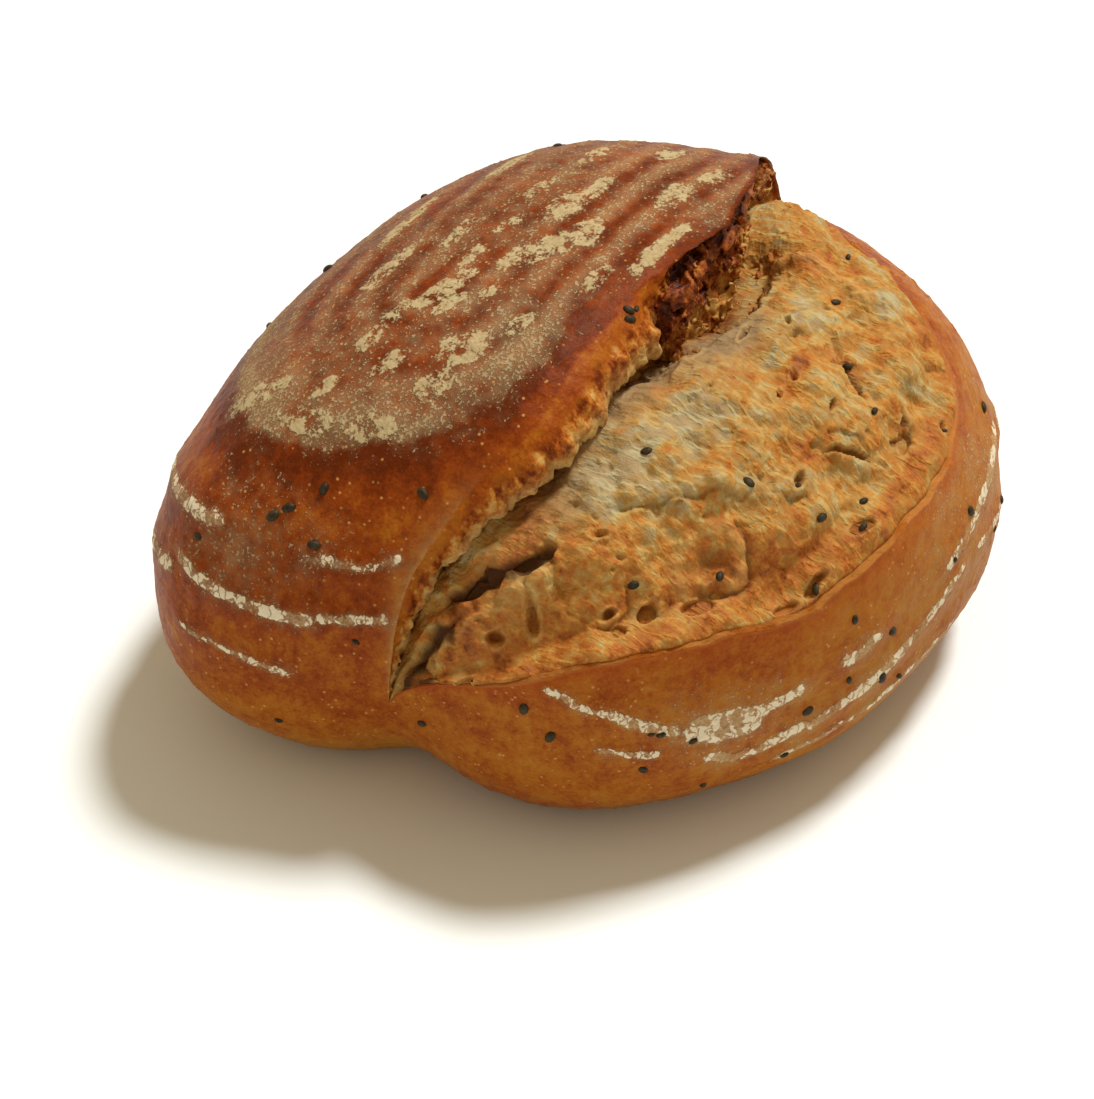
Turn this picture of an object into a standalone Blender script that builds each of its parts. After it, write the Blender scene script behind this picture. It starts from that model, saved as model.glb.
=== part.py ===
"""A round seeded sourdough loaf with one long split across its top, as a single solid.

X runs along the split, from the end where it reaches the base. Y points to the raised flap and Z up.
The origin is under the middle of the loaf, on the surface that it rests on. Lengths are in metres.
"""

import math
import random

import bpy
import numpy as np
from mathutils import Matrix, Vector, noise

# The whole dough, before it splits: its radius and its fullness, spaced evenly round it from +X
PLAN_RADII = (
    0.0925, 0.0850, 0.0765, 0.0755, 0.0865, 0.1005,
    0.0790, 0.0810, 0.0800, 0.0855, 0.0935, 0.0915,
)
FULLNESS = (2.35, 2.5, 2.1, 2.4, 2.5, 2.5)  # 2 gives an ellipsoid, and more a boxier dough
CROWN = 0.101  # height of the top
GIRTH = 0.0315  # height at which the loaf is widest
UNDERSIDE = 0.044  # how far the round underside would reach below the girth
HEEL_RADIUS = 0.005  # rounding where the side meets the flat base
LUMP_SIZE = 0.045
LUMP_HEIGHT = 0.0016

# The split: a flap of crust on the +Y side, a lip of crust on the -Y side and torn crumb between them.
# Each row has one value for each tenth of the way along the loaf.
FLAP_ANGLES = (80, 86, 81, 76, 77, 76, 73, 77, 84, 87, 84)  # degrees round the loaf from -Y, 90 is up
LIP_ANGLES = (66, 36, 29, 22, 19.5, 22, 27.5, 46, 61, 72, 78)
SPLIT_DEPTHS = (0.000, 0.010, 0.013, 0.0135, 0.014, 0.016, 0.017, 0.012, 0.008, 0.005, 0.000)
CAVE_REACH = (0.000, 0.001, 0.001, 0.000, 0.001, 0.004, 0.006, 0.004, 0.002, 0.001, 0.000)  # under the flap
# How far the flap's edge and the lip lift off the dough, and the share of the crumb's depth kept at the lip
FLAP_RISE = (0.000, 0.001, 0.001, 0.001, 0.0012, 0.0015, 0.002, 0.0035, 0.003, 0.001, 0.000)
LIP_RISE = (0.000, 0.001, 0.001, 0.001, 0.001, 0.001, 0.000, -0.0025, -0.0035, -0.0015, 0.000)
LIP_STEP = (1.0, 1.0, 1.0, 1.0, 1.0, 0.8, 0.4, 0.3, 0.3, 0.5, 1.0)
FLAP_RIM = 0.06  # how far back the flap's edge rises, as a share of the flap
LIP_RIM = 0.12  # and the lip, as a share of the side
# From the flap's edge to the lip: how far across, and how deep as a share of the split's depth
PROFILE_ACROSS = (0.0, 0.030, 0.080, 0.150, 0.28, 0.46, 0.70, 0.90, 0.965, 1.0)
PROFILE_DEPTH = (0.00, 0.40, 1.00, 0.88, 0.58, 0.46, 0.43, 0.42, 0.36, 0.00)
EDGE_GATHER = 0.125  # how closely the columns of faces gather at the flap and the lip
CRAG_SIZE = 0.013
CRAG_HEIGHT = 0.0030
EDGE_WAVER = 1.6  # degrees by which the torn edges wander

# The crease where the split runs out at the base
CREASE_DEPTH = 0.007
CREASE_WIDTH = 0.012
CREASE_TOP = 0.040

# Seeds baked into the surface
SEED_LENGTH = 0.0026
SEED_WIDTH = 0.0018
SEED_SIDES = 6
SEED_COUNT = 44
SEED_SPACING = 0.06  # at least, in along and column
SEED_DRAW = 11

# Faces round and along the loaf
COLUMNS = 60
ROWS = 62
LIP_SHARE = 0.25  # share of the columns from the base's middle up to the lip
FLAP_SHARE = 0.68  # and up to the flap's edge


def through(values, share):
    """Smooth curve through equally spaced values, for a share from 0 to 1."""
    padded = np.array([2 * values[0] - values[1], *values, 2 * values[-1] - values[-2]])
    place = np.clip(np.asarray(share) * (len(values) - 1), 0, len(values) - 1 - 1e-9)
    return cubic(padded, np.floor(place).astype(int) + 1, place - np.floor(place))


def around(values, angle):
    """Smooth closed curve through values spaced evenly round the loaf, at an angle from +X."""
    place = (angle / (2 * np.pi) * len(values)) % len(values)
    return cubic(np.array(values), np.floor(place).astype(int), place - np.floor(place))


def cubic(values, index, part):
    """Catmull-Rom curve between values[index] and the next one."""
    a, b, c, d = (values[(index + k) % len(values)] for k in (-1, 0, 1, 2))
    return b + 0.5 * part * (c - a + part * (2 * a - 5 * b + 4 * c - d + part * (3 * (b - c) + d - a)))


def dough(along, angle):
    """Points of the whole dough. along is 0 and 1 at the split's ends, and angle goes round the X axis."""
    turn = np.pi * along
    x = -np.cos(turn)
    y = -np.sin(turn) * np.cos(angle)
    z = np.sin(turn) * np.sin(angle)
    height = np.where(z > 0, CROWN - GIRTH, UNDERSIDE)
    heading = np.arctan2(y, x)
    flat = np.hypot(x, y) / around(PLAN_RADII, heading)
    power = around(FULLNESS, heading)
    scale = (flat**power + np.abs(z / height) ** power) ** (-1 / power)
    return np.stack([x * scale, y * scale, z * scale + GIRTH], axis=-1)


def outward(along, angle):
    """Unit normals of the dough."""
    step = 1e-4
    along = np.clip(along, 0.002, 0.998)
    down_loaf = dough(along + step, angle) - dough(along - step, angle)
    round_loaf = dough(along, angle + step) - dough(along, angle - step)
    normal = np.cross(down_loaf, round_loaf)
    return normal / np.linalg.norm(normal, axis=-1, keepdims=True)


def noise_at(points, size, octaves=3):
    """Soft noise from about -1 to 1 at each point, with features of the given size."""
    return np.array([noise.fractal(Vector(p) / size, 1.0, 2.0, octaves) for p in points])


def settle(points):
    """Flattens what reaches below the base, with a rounded heel."""
    z = points[:, 2]
    heel = (z + HEEL_RADIUS) ** 2 / (4 * HEEL_RADIUS)
    points[:, 2] = np.where(z < -HEEL_RADIUS, 0, np.where(z < HEEL_RADIUS, heel, z))
    return points


def loaf_surface(along, column):
    """Points of the finished loaf. column is 0 to 1 round it, from the base's middle by way of the lip."""
    waver = EDGE_WAVER * np.sin(np.pi * along)
    shift = np.stack([along * 6, 0 * along, 0 * along], axis=-1)
    flap = through(FLAP_ANGLES, along) + waver * noise_at(shift, 0.4)
    lip = through(LIP_ANGLES, along) + waver * noise_at(shift + 9, 0.4)

    below = np.clip(column / LIP_SHARE, 0, 1)
    torn = np.clip((FLAP_SHARE - column) / (FLAP_SHARE - LIP_SHARE), 0, 1)
    over = np.clip((column - FLAP_SHARE) / (1 - FLAP_SHARE), 0, 1)
    torn = torn - EDGE_GATHER * np.sin(2 * np.pi * torn)
    across = np.where(column < LIP_SHARE, 1, torn)
    degrees = flap + (lip - flap) * across
    degrees = np.where(column < LIP_SHARE, -90 + (lip + 90) * (1 - (1 - below) ** 1.2), degrees)
    degrees = np.where(column > FLAP_SHARE, flap + (270 - flap) * over**1.2, degrees)
    angle = np.radians(degrees)

    points = dough(along, angle)
    normal = outward(along, angle)
    in_split = (column >= LIP_SHARE) & (column <= FLAP_SHARE)
    lumps = LUMP_HEIGHT * noise_at(points, LUMP_SIZE, 1) * np.sin(np.pi * along)
    points += normal * lumps[:, None]

    depth = through(SPLIT_DEPTHS, along)
    near_lip = np.clip(across / 0.8, 0, 1) ** 2
    kept = 1 - (1 - through(LIP_STEP, along)) * near_lip
    sink = np.interp(across, PROFILE_ACROSS, PROFILE_DEPTH) * kept
    crags = CRAG_HEIGHT * noise_at(points, CRAG_SIZE) * np.clip(depth / 0.012, 0, 1)
    crags *= np.clip(across / 0.06, 0, 1) * np.clip((1 - across) / 0.05, 0, 1)
    points += normal * (np.where(in_split, crags - depth * sink, 0))[:, None]

    flap_rise = through(FLAP_RISE, along) * np.exp(-over / FLAP_RIM) * (column >= FLAP_SHARE)
    lip_rise = through(LIP_RISE, along) * np.where(in_split, near_lip, np.exp(-(1 - below) / LIP_RIM))
    points += normal * (flap_rise + np.where(column <= FLAP_SHARE, lip_rise, 0))[:, None]

    cave = through(CAVE_REACH, along) * np.exp(-(((across - 0.07) / 0.045) ** 2)) * in_split
    points[:, 1] += cave

    low_end = np.clip((CREASE_TOP - points[:, 2]) / CREASE_TOP, 0, 1) * np.clip(-points[:, 0] / 0.06, 0, 1)
    points[:, 0] += CREASE_DEPTH * low_end * np.exp(-((points[:, 1] / CREASE_WIDTH) ** 2))
    return settle(points)


def make_collection(name):
    collection = bpy.data.collections.new(name)
    bpy.context.scene.collection.children.link(collection)
    return collection


def move_to(obj, collection):
    for owner in list(obj.users_collection):
        owner.objects.unlink(obj)
    collection.objects.link(obj)


def bread_material():
    material = bpy.data.materials.new("baked_bread")
    material.use_nodes = True
    shader = material.node_tree.nodes["Principled BSDF"]
    shader.inputs["Base Color"].default_value = (0.38, 0.16, 0.045, 1)
    shader.inputs["Roughness"].default_value = 0.65
    shader.inputs["Metallic"].default_value = 0
    return material


def make_dough(collection):
    """A ball with its poles at the split's ends, each of whose points is put on the loaf."""
    bpy.ops.mesh.primitive_uv_sphere_add(segments=COLUMNS, ring_count=ROWS)
    obj = bpy.context.object
    obj.name = obj.data.name = "loaf"
    move_to(obj, collection)
    ball = np.array([v.co for v in obj.data.vertices])
    along = np.arccos(np.clip(-ball[:, 2], -1, 1)) / np.pi
    column = (np.arctan2(ball[:, 1], ball[:, 0]) / (2 * np.pi)) % 1
    column = np.round(column * COLUMNS) % COLUMNS / COLUMNS
    obj.data.vertices.foreach_set("co", loaf_surface(along, column).astype(np.float32).ravel())
    obj.data.update()
    return obj


def seed_places():
    """Where the seeds lie, as along and column, drawn evenly over the sides, flap and torn crumb."""
    draw = random.Random(SEED_DRAW)
    places = []
    while len(places) < SEED_COUNT:
        place = (draw.uniform(0.12, 0.88), draw.uniform(0.10, 0.86))
        if all(math.dist(place, other) > SEED_SPACING for other in places):
            places.append(place)
    return places


def make_seed(number, along, column, collection):
    """One seed, half sunk in the surface and lying along it."""
    step = 0.004
    where = loaf_surface(np.array([along, along + step, along]), np.array([column, column, column + step]))
    middle, ahead, aside = (Vector(p) for p in where)
    tangent = (ahead - middle).normalized()
    normal = tangent.cross(aside - middle).normalized()
    draw = random.Random(SEED_DRAW * 1000 + number)
    lying = Matrix((tangent, normal.cross(tangent), normal)).transposed()
    turn = Matrix.Rotation(draw.uniform(0, math.pi), 3, "Z")
    bpy.ops.mesh.primitive_uv_sphere_add(segments=SEED_SIDES, ring_count=4, radius=0.5)
    seed = bpy.context.object
    seed.name = f"seed_{number}"
    move_to(seed, collection)
    size = Matrix.Diagonal((SEED_WIDTH, SEED_WIDTH, SEED_LENGTH)).to_4x4()
    on_side = Matrix.Rotation(math.pi / 2, 4, "Y")
    seed.data.transform((lying @ turn).to_4x4() @ on_side @ size)
    seed.data.transform(Matrix.Translation(middle))
    seed.data.update()


def fuse(obj, collection):
    """Joins every object of the collection to obj, and removes the collection's objects."""
    union = obj.modifiers.new("seeds", "BOOLEAN")
    union.operation = "UNION"
    union.operand_type = "COLLECTION"
    union.collection = collection
    union.solver = "EXACT"
    bpy.context.view_layer.objects.active = obj
    bpy.ops.object.modifier_apply(modifier=union.name)
    for seed in list(collection.objects):
        bpy.data.objects.remove(seed)
    bpy.data.collections.remove(collection)


def centre(obj):
    """Puts the origin under the middle of the loaf's bounding box."""
    corners = np.array([v.co for v in obj.data.vertices])
    low, high = corners.min(axis=0), corners.max(axis=0)
    obj.data.transform(Matrix.Translation((-(low[0] + high[0]) / 2, -(low[1] + high[1]) / 2, -low[2])))
    obj.data.update()


def main():
    for obj in list(bpy.data.objects):
        bpy.data.objects.remove(obj)
    bread = make_collection("sourdough_loaf")
    loaf = make_dough(bread)
    seeds = make_collection("seeds")
    for number, (along, column) in enumerate(seed_places()):
        make_seed(number, along, column, seeds)
    fuse(loaf, seeds)
    centre(loaf)
    loaf.data.materials.clear()
    loaf.data.materials.append(bread_material())
    loaf.data.shade_smooth()
    loaf.data.set_sharp_from_angle(angle=math.radians(50))


main()
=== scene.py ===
"""The looks of a round, seeded sourdough loaf that tore open along its top in the oven.

The loaf is two closed pieces that meet inside it: the crust, with its raised flap and its lip, and the torn
crumb between them. The seeds and the torn dough under the flap are pieces of their own. The form is the
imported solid's, worked out again here from the same sizes, and Geometry Nodes give both pieces their relief.
Lengths are in metres. X runs along the split, Y points to the flap and Z up.
"""

import math

import bpy
import numpy as np
from mathutils import Matrix, Vector, noise


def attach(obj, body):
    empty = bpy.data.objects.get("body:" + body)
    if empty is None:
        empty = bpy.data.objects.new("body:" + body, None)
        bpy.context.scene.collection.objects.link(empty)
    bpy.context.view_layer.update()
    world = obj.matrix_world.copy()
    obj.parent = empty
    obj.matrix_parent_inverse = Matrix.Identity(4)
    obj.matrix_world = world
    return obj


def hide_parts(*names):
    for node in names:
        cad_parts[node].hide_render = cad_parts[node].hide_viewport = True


MM = 0.001

# The whole dough, before it splits: its radius and its fullness, spaced evenly round it from +X
PLAN_RADII = (
    0.0925, 0.0850, 0.0765, 0.0755, 0.0865, 0.1005,
    0.0790, 0.0810, 0.0800, 0.0855, 0.0935, 0.0915,
)
FULLNESS = (2.35, 2.5, 2.1, 2.4, 2.5, 2.5)
CROWN = 0.101
GIRTH = 0.0315
UNDERSIDE = 0.044
HEEL_RADIUS = 0.005
LUMP_SIZE = 0.045
LUMP_HEIGHT = 0.0016

# The split, with one value for each tenth of the way along it
FLAP_ANGLES = (80, 86, 81, 76, 77, 76, 73, 77, 84, 87, 84)
LIP_ANGLES = (66, 36, 29, 22, 19.5, 22, 27.5, 46, 61, 72, 78)
SPLIT_DEPTHS = (0.000, 0.010, 0.013, 0.0135, 0.014, 0.016, 0.017, 0.012, 0.008, 0.005, 0.000)
CAVE_REACH = (0.000, 0.001, 0.001, 0.000, 0.001, 0.004, 0.006, 0.004, 0.002, 0.001, 0.000)
FLAP_RISE = (0.000, 0.001, 0.001, 0.001, 0.0012, 0.0015, 0.002, 0.0035, 0.003, 0.001, 0.000)
LIP_RISE = (0.000, 0.001, 0.001, 0.001, 0.001, 0.001, 0.000, -0.0025, -0.0035, -0.0015, 0.000)
LIP_STEP = (1.0, 1.0, 1.0, 1.0, 1.0, 0.8, 0.4, 0.3, 0.3, 0.5, 1.0)
FLAP_RIM = 0.06
LIP_RIM = 0.12
PROFILE_ACROSS = (0.0, 0.030, 0.080, 0.150, 0.28, 0.46, 0.70, 0.90, 0.965, 1.0)
PROFILE_DEPTH = (0.00, 0.40, 1.00, 0.88, 0.58, 0.46, 0.43, 0.42, 0.36, 0.00)
CRAG_SIZE = 0.013
CRAG_HEIGHT = 0.0030
EDGE_WAVER = 1.6
CREASE_DEPTH = 0.007
CREASE_WIDTH = 0.012
CREASE_TOP = 0.040
SHOULDER = 0.0022  # how much the flap's edge is rounded off where it isn't an ear
EAR_START = 0.46  # where along the split the flap's edge starts to stand up as an ear
EAR_FULL = 0.60
RIM_SHARE = 0.6  # where on the wall under the flap its ragged rim is, from its top to its foot

# The crust's zones, from the base's middle: up to the lip, under the crumb, the wall, the flap and the back
LIP_SIDE, HIDDEN, WALL, FLAP = range(4)
HEEL_SHARE = 0.68  # how far up the lip's side, and down the flap's, the rounded heel is
BACK_SHARE = 0.42  # where the finely divided flap ends and the back starts

# Rows and columns of faces of the crust
CRUST_ROWS = 300
BASE_COLUMNS = 14
LIP_SIDE_COLUMNS = 88
HIDDEN_COLUMNS = 12
WALL_COLUMNS = 26
FLAP_COLUMNS = 122
BACK_COLUMNS = 50

# Faces of the crumb
CRUMB_ROWS = 440
CRUMB_COLUMNS = 200
CRUMB_UNDER_COLUMNS = 12

# Rings that the proving basket pressed into the crust, round a line along the middle of the flap
RING_SPACING = 0.0086
RING_CENTRE = (-0.025, 0.055, 0.0255)  # the line's two ends in X, and its Y
FIELD_CENTRE = (-0.0265, 0.060, 0.033)  # the middle line of the part of the flap that is floured all over
FIELD_REACH = 0.0382
HALO_SPREAD = 3.2  # how many times wider than a line of flour the dust round it is
FAR_SIDE = (126, 303)  # lines of flour are more broken below the first heading and above the second

# Soft dust on the sides: heading and height of its middle, and how far it spreads in degrees and in mm
LEFT_DUST = (156, 66, 15, 13)
RIGHT_DUST = (292, 54, 24, 20)

# Lines of flour on the sides: width, strength, and places as degrees round the loaf from +X and height in mm
FLOUR_LINES = (
    (1.7, 0.9, ((131, 39), (137, 46), (147, 52))),
    (1.5, 1.0, ((149, 56), (152, 55), (158, 54), (166, 52.5))),
    (1.1, 0.9, ((168, 53.5), (172, 54), (176, 55.5))),
    (1.4, 0.9, ((127, 54), (136, 60), (146, 65), (152, 67))),
    (1.2, 0.7, ((164, 66), (168, 65.5), (172, 65), (176, 68))),
    (1.2, 0.7, ((151, 41), (156, 41), (160, 40), (164, 38))),
    (1.3, 0.7, ((203, 50), (208, 46), (213, 43))),
    (1.6, 1.0, ((213, 43), (217, 40), (222, 37))),
    (3.5, 1.5, ((226.5, 36), (229, 35), (234, 35))),
    (1.5, 1.0, ((234, 35), (238, 36.5), (243, 38))),
    (1.2, 0.8, ((211, 34), (215, 32), (219, 31))),
    (1.7, 0.9, ((228, 27), (232, 24.5), (238, 25), (244, 27))),
    (1.7, 1.0, ((246, 26), (250, 27.5), (256, 29), (262, 31), (270, 35), (280, 40))),
    (1.7, 1.0, ((252, 40), (255, 40), (258, 42))),
    (1.5, 0.8, ((286, 40), (292, 38), (300, 36))),
    (1.8, 1.1, ((276, 46), (284, 50), (291, 53), (300, 56))),
    (1.3, 0.7, ((240, 19), (250, 20), (260, 21), (280, 24))),
    (1.9, 1.0, ((20, 50), (30, 53), (38, 57), (47, 58), (56, 56))),
    (1.4, 0.9, ((66, 55), (76, 57), (84, 60), (94, 60), (104, 57), (112, 57))),
    (1.2, 0.8, ((28, 40), (36, 43), (44, 43))),
    (2.2, 1.1, ((60, 42), (68, 44), (76, 47))),
    (1.6, 1.0, ((80, 47), (90, 46), (99, 43), (108, 43), (119, 44))),
    (1.2, 0.8, ((48, 31), (58, 34), (66, 34))),
    (1.3, 0.7, ((96, 30), (106, 32), (116, 30))),
    (1.6, 0.9, ((306, 49), (314, 52), (324, 51))),
    (1.5, 0.9, ((312, 38), (322, 40), (332, 39))),
    (1.7, 0.9, ((340, 42), (349, 44), (357, 43))),
    (1.2, 0.7, ((306, 27), (316, 29), (322, 29))),
)

# Thick flour on the flap: X, Y, length and width in mm, and turn in degrees
FLOUR_PATCHES = (
    (13, 17, 24, 12, -10), (-5, 13, 28, 12, -28), (5, 8, 18, 10, 10), (-25, 25, 24, 9, -20),
    (-29, 21, 14, 6, -20), (-20, 43, 28, 7, -8), (-35, 31, 18, 6, -14), (-38, 11, 18, 11, -40),
    (-28, 4, 12, 6, -20), (-58, 50, 10, 23, 30), (-63, 34, 8, 21, 0), (-60, 20, 8, 18, 25),
    (-48, 12, 13, 10, -30), (-43, 32, 11, 6, -20), (-55, 34, 10, 5, -30), (1, 25, 14, 5, -22),
    (22, 15, 16, 6, 5), (-12, 26, 16, 6, 0), (28, 0, 20, 10, -8), (8, -8.5, 38, 6, -4),
    (42, -3, 20, 8, -10), (16, 27, 20, 6, 0), (-4, 34, 18, 6, 0), (28, 42, 27, 6, -4), (36, 25, 22, 6, 0),
    (-47, 24, 13, 6, -30), (-12, 17, 13, 6, 0), (48, 12, 18, 8, 0), (0, 51, 34, 6, 0), (-22, 15, 11, 5, 0),
    (-8, -3, 16, 6, 0),
)

# Bubbles in the crumb: X, Y, length and width in mm, turn in degrees, and depth
BUBBLES = (
    (-40, -49.5, 14, 8, -38, 0.45), (-46, -50.5, 9, 3.4, -42, 0.9), (-54, -43, 5.0, 2.6, -36, 1.0),
    (-60, -40, 4.2, 2.4, -40, 0.8), (-59, -37, 3.6, 2.0, -40, 0.9), (-27, -67.5, 7.0, 2.0, -20, 1.0),
    (-34, -64.5, 7.0, 2.2, -32, 0.8), (-12.4, -70.5, 7, 2.4, -40, 1.1), (-17, -57, 4.5, 2.4, 10, 0.9),
    (12, -54, 13, 3.0, 66, 0.7), (11, -67.5, 9, 3.0, 22, 1.2), (42, -60, 6, 2.0, 55, 1.0),
    (48, -50, 8, 2.0, 50, 0.9), (20, -72, 4, 1.6, 30, 1.0), (-3, -62, 13, 1.5, -52, 1.0),
    (-66, -23, 5, 3, 60, 0.5), (-52, -30, 5, 2.0, -60, 0.4), (1, -55, 4, 1.2, 15, 0.8),
    (2, -45, 5, 2.0, 40, 0.6), (-4, -45, 4, 1.8, 20, 0.6), (15, -36, 5, 1.6, 50, 0.5),
    (-42, -52.5, 6, 2.4, -40, 0.4), (8, -29.5, 8, 2.0, 10, 0.6), (-4, -24, 9, 3, 10, 0.5),
    (5, -13.5, 8, 2.5, 5, 0.8), (-27, -15.5, 2.5, 2, 0, 0.8), (-71, -17, 5, 2.2, -60, 0.8),
    (-78, -14, 4, 2, -60, 0.8),
)

# Low strands on the crumb: width and height in mm, and places in X and Y
STRANDS = (
    (1.5, 0.8, ((-45, -27), (-41, -33), (-37, -39), (-33, -43), (-28, -49), (-20, -57))),
    (1.8, 1.4, ((34, -18), (37, -24), (38, -31), (37, -39), (33, -45))),
    (0.8, 0.6, ((45, -30), (47, -38), (46, -46))),
    (0.8, 0.5, ((-18, -30), (-16, -38), (-19, -46))),
    (0.7, 0.7, ((20, -45), (24, -54), (22, -63))),
    (1.2, 1.0, ((-75, -6), (-70, -12), (-66, -18), (-62, -24))),
    (1.0, 0.9, ((-14, -25), (-2, -24), (8, -27), (18, -28), (28, -26))),
)

# Cuts in the crumb: width and depth in mm, darkness, which is painted shade, and places in X and Y
CUTS = (
    (1.9, 3.2, 1.0, ((-69, -4), (-67, -8), (-66, -11), (-64, -15), (-62, -19), (-59, -22))),
    (1.6, 3.0, 1.0, ((-82, 1), (-79, 0), (-76, -1), (-74, -3), (-73, -7))),
    (1.2, 2.0, 0.9, ((-78, -3), (-80, -7), (-83, -8))),
    (0.5, 1.0, 0.5, ((-32, -51), (-33, -54), (-34, -56), (-36, -57), (-39, -56), (-42, -53), (-44, -50))),
    (0.5, 0.7, 0.4, ((-47, -29), (-43, -34), (-39, -39), (-35, -43), (-30, -48), (-24, -53), (-18, -60))),
    (0.4, 0.7, 0.45, ((-62, -36), (-60, -39), (-56, -40), (-54, -38))),
    (0.4, 0.6, 0.4, ((-55, -43), (-52, -46), (-49, -46), (-48, -43))),
    (0.6, 1.2, 0.7, ((8, -66), (11, -69), (14, -68), (15, -65))),
    (0.6, 1.0, 0.6, ((12, -49), (14, -52), (13, -56), (10, -57))),
    (0.5, 0.8, 0.5, ((-4, -57), (0, -62), (2, -68))),
    (1.0, 1.3, 0.45, ((18, -46), (15, -50), (13, -55), (12, -60))),
    (0.8, 1.0, 0.5, ((41, -56), (44, -60), (46, -63))),
    (0.6, 0.8, 0.5, ((52, -46), (54, -52))),
    (0.7, 1.0, 0.5, ((30, -62), (34, -66))),
)

# The hollow beneath the raised flap, as places in X and Y, and how wide and deep it is in mm
HOLLOW = ((-11, -10), (0, -15), (10, -18), (22, -19), (34, -17))
HOLLOW_WIDTH = 6.5
HOLLOW_DEPTH = 4.0

# How brown the crumb is: X, Y, length and width in mm, turn in degrees, and amount, less than 0 for pale
CRUMB_TONES = (
    (-33, -29, 22, 14, -30, -0.45), (-20, -36, 16, 10, 0, -0.25), (-45, -25, 12, 10, 0, -0.20),
    (-40, -52, 30, 11, -36, 0.30), (-60, -32, 14, 26, 10, 0.18), (-72, -18, 10, 26, 0, 0.30),
    (-10, -55, 5, 6, 30, 0.42), (-2, -46, 13, 4, 15, 0.28), (14, -50, 6, 12, 0, 0.40),
    (12, -67, 10, 5, 20, 0.30), (38, -28, 6, 24, 0, 0.45), (25, -36, 12, 12, 0, -0.20),
    (36, -50, 8, 8, 0, -0.20), (26, -52, 8, 12, 0, 0.18), (45, -60, 10, 10, 0, 0.25),
    (-25, -63, 20, 5, -30, 0.22), (0, -72, 40, 4, -4, 0.22), (-32, -34, 8, 4, 0, 0.25),
    (5, -37, 14, 8, 0, -0.15), (50, -30, 16, 20, 0, 0.12), (30, -40, 6, 5, 0, 0.35),
    (37, -57, 8, 3, 60, 0.35), (22, -30, 5, 8, -30, 0.30), (-3, -38, 6, 5, 0, 0.35),
    (6, -44, 8, 5, 0, 0.30), (20, -40, 18, 16, 0, -0.16), (48, -40, 12, 16, 0, -0.14),
    (2, -30, 16, 6, 0, -0.15), (-17, -43, 8, 6, 0, 0.12), (-62, -15, 14, 8, -20, 0.22),
    (-46, -13.5, 24, 5, -6, 0.25), (-72, -8, 8, 10, -20, 0.3), (-8, -50, 12, 10, 0, -0.10),
    (40, -68, 24, 8, 10, 0.25),
)

# Scorched spots by the flap's edge, given in the same way
SCORCHED = (
    (-30, -7, 5, 3.5, 0, 0.40), (-49, -5, 4, 3.5, 0, 0.35), (-20, -9, 8, 3, 0, 0.20),
    (-40, -9, 7, 3, 20, 0.15),
)

# Where the crumb is in the lee of the flap, greyish and smooth: its own unbaked colour with painted shade
# from the flap, given in the same way
LEE_SHADE = (
    (-22, -17, 60, 13, -4, 1.0), (5, -24, 30, 17, 10, 1.1), (8, -30, 14, 5, 0, 0.7),
    (-48, -21, 12, 8, 0, 0.5),
)

# Where the crumb has a thin smooth skin, given in the same way
SMOOTH = (
    (-33, -29, 22, 14, -30, 0.6), (-47, -46, 42, 18, -36, 0.6), (-72, -20, 12, 22, 10, 0.4),
    (12, -60, 18, 10, 10, 0.4),
)

# Seeds that show: X and Y in mm for those on top, degrees and height in mm for those on the sides
TOP_SEEDS = (
    (-34, -30.5), (14.7, -51.2), (8.5, -61.2), (-12, -12.8), (-10.2, -13.6), (-13.4, -14), (-52.9, -39.1),
    (-12.5, -70.5), (-26.9, -67.7), (19.5, -72.8), (-17.4, -57.3), (-25.6, -50), (-8, -68), (-19, -64),
    (30, -40), (-77, 29.3), (-78.9, 32.1), (-72.1, 23.7), (-64.5, 4.3), (45, -35), (20, 60), (-10, 66),
    (45, 40), (-40, -52),
)
SIDE_SEEDS = (
    (254, 49.5), (262, 40), (253, 33.5), (220, 36.8), (218.5, 37.3), (225, 33.3), (217.5, 26.5),
    (203.5, 36.7), (199.5, 43.5), (241.5, 19), (260, 28.5), (265, 23.8), (283, 53), (277, 46), (298, 38),
    (293, 36), (245, 30.5), (164.5, 68.5), (172.5, 48.6), (182, 28.7), (162.5, 22), (20, 50), (40, 66),
    (62, 30), (75, 58), (95, 44), (110, 70), (128, 25), (330, 60), (318, 40), (345, 30), (5, 24), (85, 20),
    (150, 62), (228, 15), (300, 62),
)
SEED_LENGTH = 0.0026
SEED_WIDTH = 0.0017

# Torn dough on the wall under the flap: where along the split, where down the wall, and how thick
TORN_STRIPS = {
    "loaf_torn_dough": ((0.50, 0.72), (0.36, 0.98), 0.0050),
    "loaf_torn_tip": ((0.785, 0.835), (0.24, 0.62), 0.0022),
}
TORN_GRID = {"Resolution X": 150, "Resolution Y": 60, "Resolution Z": 80}

# Sizes of the relief
CRUST_SIZES = {
    "Row height": 0.60 * MM,
    "Flour height": 0.40 * MM,
    "Step height": 0.8 * MM,
    "Blister height": 0.30 * MM,
    "Wrinkle height": 0.9 * MM,
    "Tear height": 6.5 * MM,
    "Cave height": 5.0 * MM,
    "Lip height": 0.5 * MM,
}
CRUMB_SIZES = {
    "Bubble depth": 2.2 * MM,
    "Hole depth": 5.0 * MM,
    "Flake height": 1.5 * MM,
    "Rim height": 0.6 * MM,
    "Fibre height": 1.2 * MM,
    "Grain height": 0.9 * MM,
}

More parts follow.
